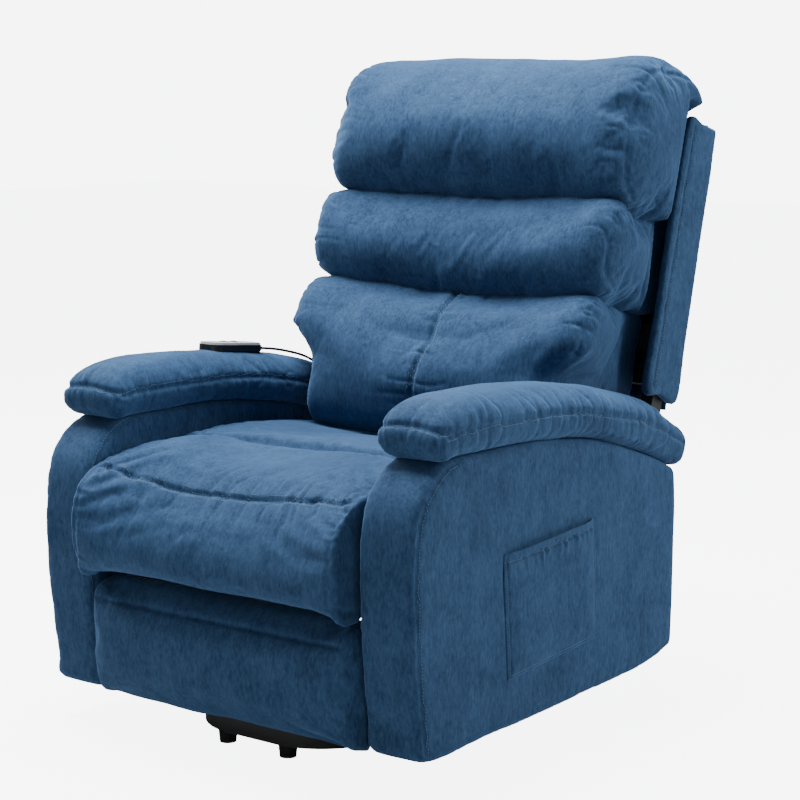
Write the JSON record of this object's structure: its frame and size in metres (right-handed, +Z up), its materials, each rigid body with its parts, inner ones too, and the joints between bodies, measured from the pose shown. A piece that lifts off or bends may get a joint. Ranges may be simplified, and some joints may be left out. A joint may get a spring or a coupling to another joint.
{
  "type": "lift recliner chair",
  "caption": "Powered lift recliner chair: padded arms and stacked back cushions over a steel lift base, with a reclining back, folding footrest and corded handset.",
  "frame": {"origin": "on the floor, at the centre of the upholstered body's box", "axes": "+Z up, the sitter faces -Y, +X is the sitter's left"},
  "size_m": [0.822, 1.06, 1.1312],
  "materials": {
    "black_frame_steel": "satin black powder coat",
    "mechanism_steel": "dark grey stamped steel, semi-gloss",
    "zinc_fasteners": "zinc plated",
    "foot_rubber": "matt moulded",
    "black_plastic": "fine texture",
    "drive_tube": "anodised",
    "drive_rod": "polished",
    "spring_wire": "drawn wire",
    "plywood": "unfinished ply",
    "blue_suede": "napped micro-suede, soft nap streaks",
    "webbing": "elastic woven webbing",
    "handset_black": "satin moulded",
    "handset_white": "smooth gloss",
    "button_grey": "soft touch",
    "cord_black": "smooth jacket"
  },
  "bodies": {
    "base": {"base_frame": "black_frame_steel", "base_feet": "foot_rubber", "front_uprights": "black_frame_steel", "base_pivot_pins": "zinc_fasteners", "lift_motor_bracket": "black_frame_steel"},
    "lift_arms": {"lift_links": "mechanism_steel", "lift_torque_tube": "mechanism_steel"},
    "guide_arms": {"guide_links": "mechanism_steel"},
    "lift_motor": {"lift_motor_housing": "black_plastic", "lift_outer_tube": "drive_tube"},
    "lift_ram": {"lift_rod": "drive_rod"},
    "chassis": {"side_plate_left": "mechanism_steel", "side_plate_right": "mechanism_steel", "front_cross_tube": "mechanism_steel", "rear_cross_tube": "mechanism_steel", "chassis_pivot_pins": "zinc_fasteners", "seat_frame": "plywood", "seat_springs": "spring_wire", "seat_cushion": "blue_suede", "arm_cover_left": "blue_suede", "arm_cover_right": "blue_suede", "arm_frame_left": "plywood", "arm_frame_right": "plywood", "arm_bolts": "zinc_fasteners", "arm_pad_left": "blue_suede", "arm_pad_right": "blue_suede", "side_pocket_left": "blue_suede", "side_pocket_right": "blue_suede", "control_box": "black_plastic", "mains_inlet": "black_plastic", "cord_plug": "handset_black", "handset_cord": "cord_black", "handset_gland": "handset_black", "handset_base": "handset_black", "handset_lid": "handset_white"},
    "up_button": {"button_up": "button_grey"},
    "down_button": {"button_down": "button_grey"},
    "back": {"back_shaft": "mechanism_steel", "back_bracket_left": "mechanism_steel", "back_bracket_right": "mechanism_steel", "back_frame": "black_frame_steel", "back_webbing": "webbing", "back_wing_left": "blue_suede", "back_wing_right": "blue_suede", "rear_cover": "blue_suede", "head_cushion": "blue_suede", "middle_cushion": "blue_suede", "lumbar_cushion": "blue_suede"},
    "recline_motor": {"recline_motor_housing": "black_plastic", "recline_outer_tube": "drive_tube"},
    "recline_ram": {"recline_rod": "drive_rod"},
    "footrest_lower": {"footrest_lower_links": "mechanism_steel", "footrest_knee_pins": "zinc_fasteners"},
    "footrest_upper": {"footrest_upper_links": "mechanism_steel", "footrest_guide_pins": "zinc_fasteners"},
    "footrest_guide": {"footrest_guide_links": "mechanism_steel"},
    "footrest": {"footrest_board": "plywood", "footrest_cushion": "blue_suede", "footrest_brackets": "mechanism_steel", "footrest_toe_pins": "zinc_fasteners"}
  },
  "joints": [
    {"name": "lift", "type": "hinge", "parent": "base", "child": "lift_arms", "pos_m": [0, -0.3, 0.08], "axis": [1, 0, 0], "range_deg": [0, 52]},
    {"name": "lift_tilt", "type": "hinge", "parent": "lift_arms", "child": "chassis", "pos_m": [0, 0.06, 0.11], "axis": [1, 0, 0], "range_deg": [-26.5, 0.5]},
    {"name": "guide_swing", "type": "hinge", "parent": "base", "child": "guide_arms", "pos_m": [0, -0.306, 0.134], "axis": [1, 0, 0], "range_deg": [-0.5, 52]},
    {"name": "lift_motor_swing", "type": "hinge", "parent": "base", "child": "lift_motor", "pos_m": [0, 0.2, 0.075], "axis": [1, 0, 0], "range_deg": [-13, 0.5]},
    {"name": "lift_ram_slide", "type": "slide", "parent": "lift_motor", "child": "lift_ram", "axis": [0, -0.9999, 0.0125], "range_m": [-0.001, 0.041]},
    {"name": "recline", "type": "hinge", "parent": "chassis", "child": "back", "pos_m": [0, 0.17, 0.33], "axis": [-1, 0, 0], "range_deg": [0, 40]},
    {"name": "recline_motor_swing", "type": "hinge", "parent": "chassis", "child": "recline_motor", "pos_m": [0, -0.2, 0.25], "axis": [1, 0, 0], "range_deg": [-2, 2]},
    {"name": "recline_ram_slide", "type": "slide", "parent": "recline_motor", "child": "recline_ram", "axis": [0, 1, 0], "range_m": [-0.062, 0.001]},
    {"name": "footrest_swing", "type": "hinge", "parent": "chassis", "child": "footrest_lower", "pos_m": [0, -0.3, 0.262], "axis": [1, 0, 0], "range_deg": [-80, 0.5]},
    {"name": "footrest_knee", "type": "hinge", "parent": "footrest_lower", "child": "footrest_upper", "pos_m": [0, -0.33, 0.08], "axis": [1, 0, 0], "range_deg": [-0.5, 131]},
    {"name": "footrest_turn", "type": "hinge", "parent": "footrest_upper", "child": "footrest", "pos_m": [0, -0.405, 0.225], "axis": [1, 0, 0], "range_deg": [-133, 0.5]},
    {"name": "footrest_guide_swing", "type": "hinge", "parent": "chassis", "child": "footrest_guide", "pos_m": [0, -0.335, 0.285], "axis": [1, 0, 0], "range_deg": [-82.5, 0.5]},
    {"name": "press_up", "type": "slide", "parent": "chassis", "child": "up_button", "axis": [0, -0.0958, -0.9954], "range_m": [0, 0.0012], "stiffness_N_per_m": 900, "springref_m": -0.0004},
    {"name": "press_down", "type": "slide", "parent": "chassis", "child": "down_button", "axis": [0, -0.0958, -0.9954], "range_m": [0, 0.0012], "stiffness_N_per_m": 900, "springref_m": -0.0004}
  ],
  "couplings": [
    {"joint": "lift_tilt", "follows": "lift", "ratio": -0.5},
    {"joint": "guide_swing", "follows": "lift", "ratio": 0.97269},
    {"joint": "lift_motor_swing", "follows": "lift", "ratio": -0.20673},
    {"joint": "lift_ram_slide", "follows": "lift", "m_per_rad": 0.043247},
    {"joint": "recline_motor_swing", "follows": "recline", "ratio": -0.0175},
    {"joint": "recline_ram_slide", "follows": "recline", "m_per_rad": -0.083652},
    {"joint": "footrest_swing", "follows": "recline", "ratio": -1.978},
    {"joint": "footrest_knee", "follows": "recline", "ratio": 3.243},
    {"joint": "footrest_turn", "follows": "recline", "ratio": -3.289},
    {"joint": "footrest_guide_swing", "follows": "recline", "ratio": -2.0318}
  ]
}
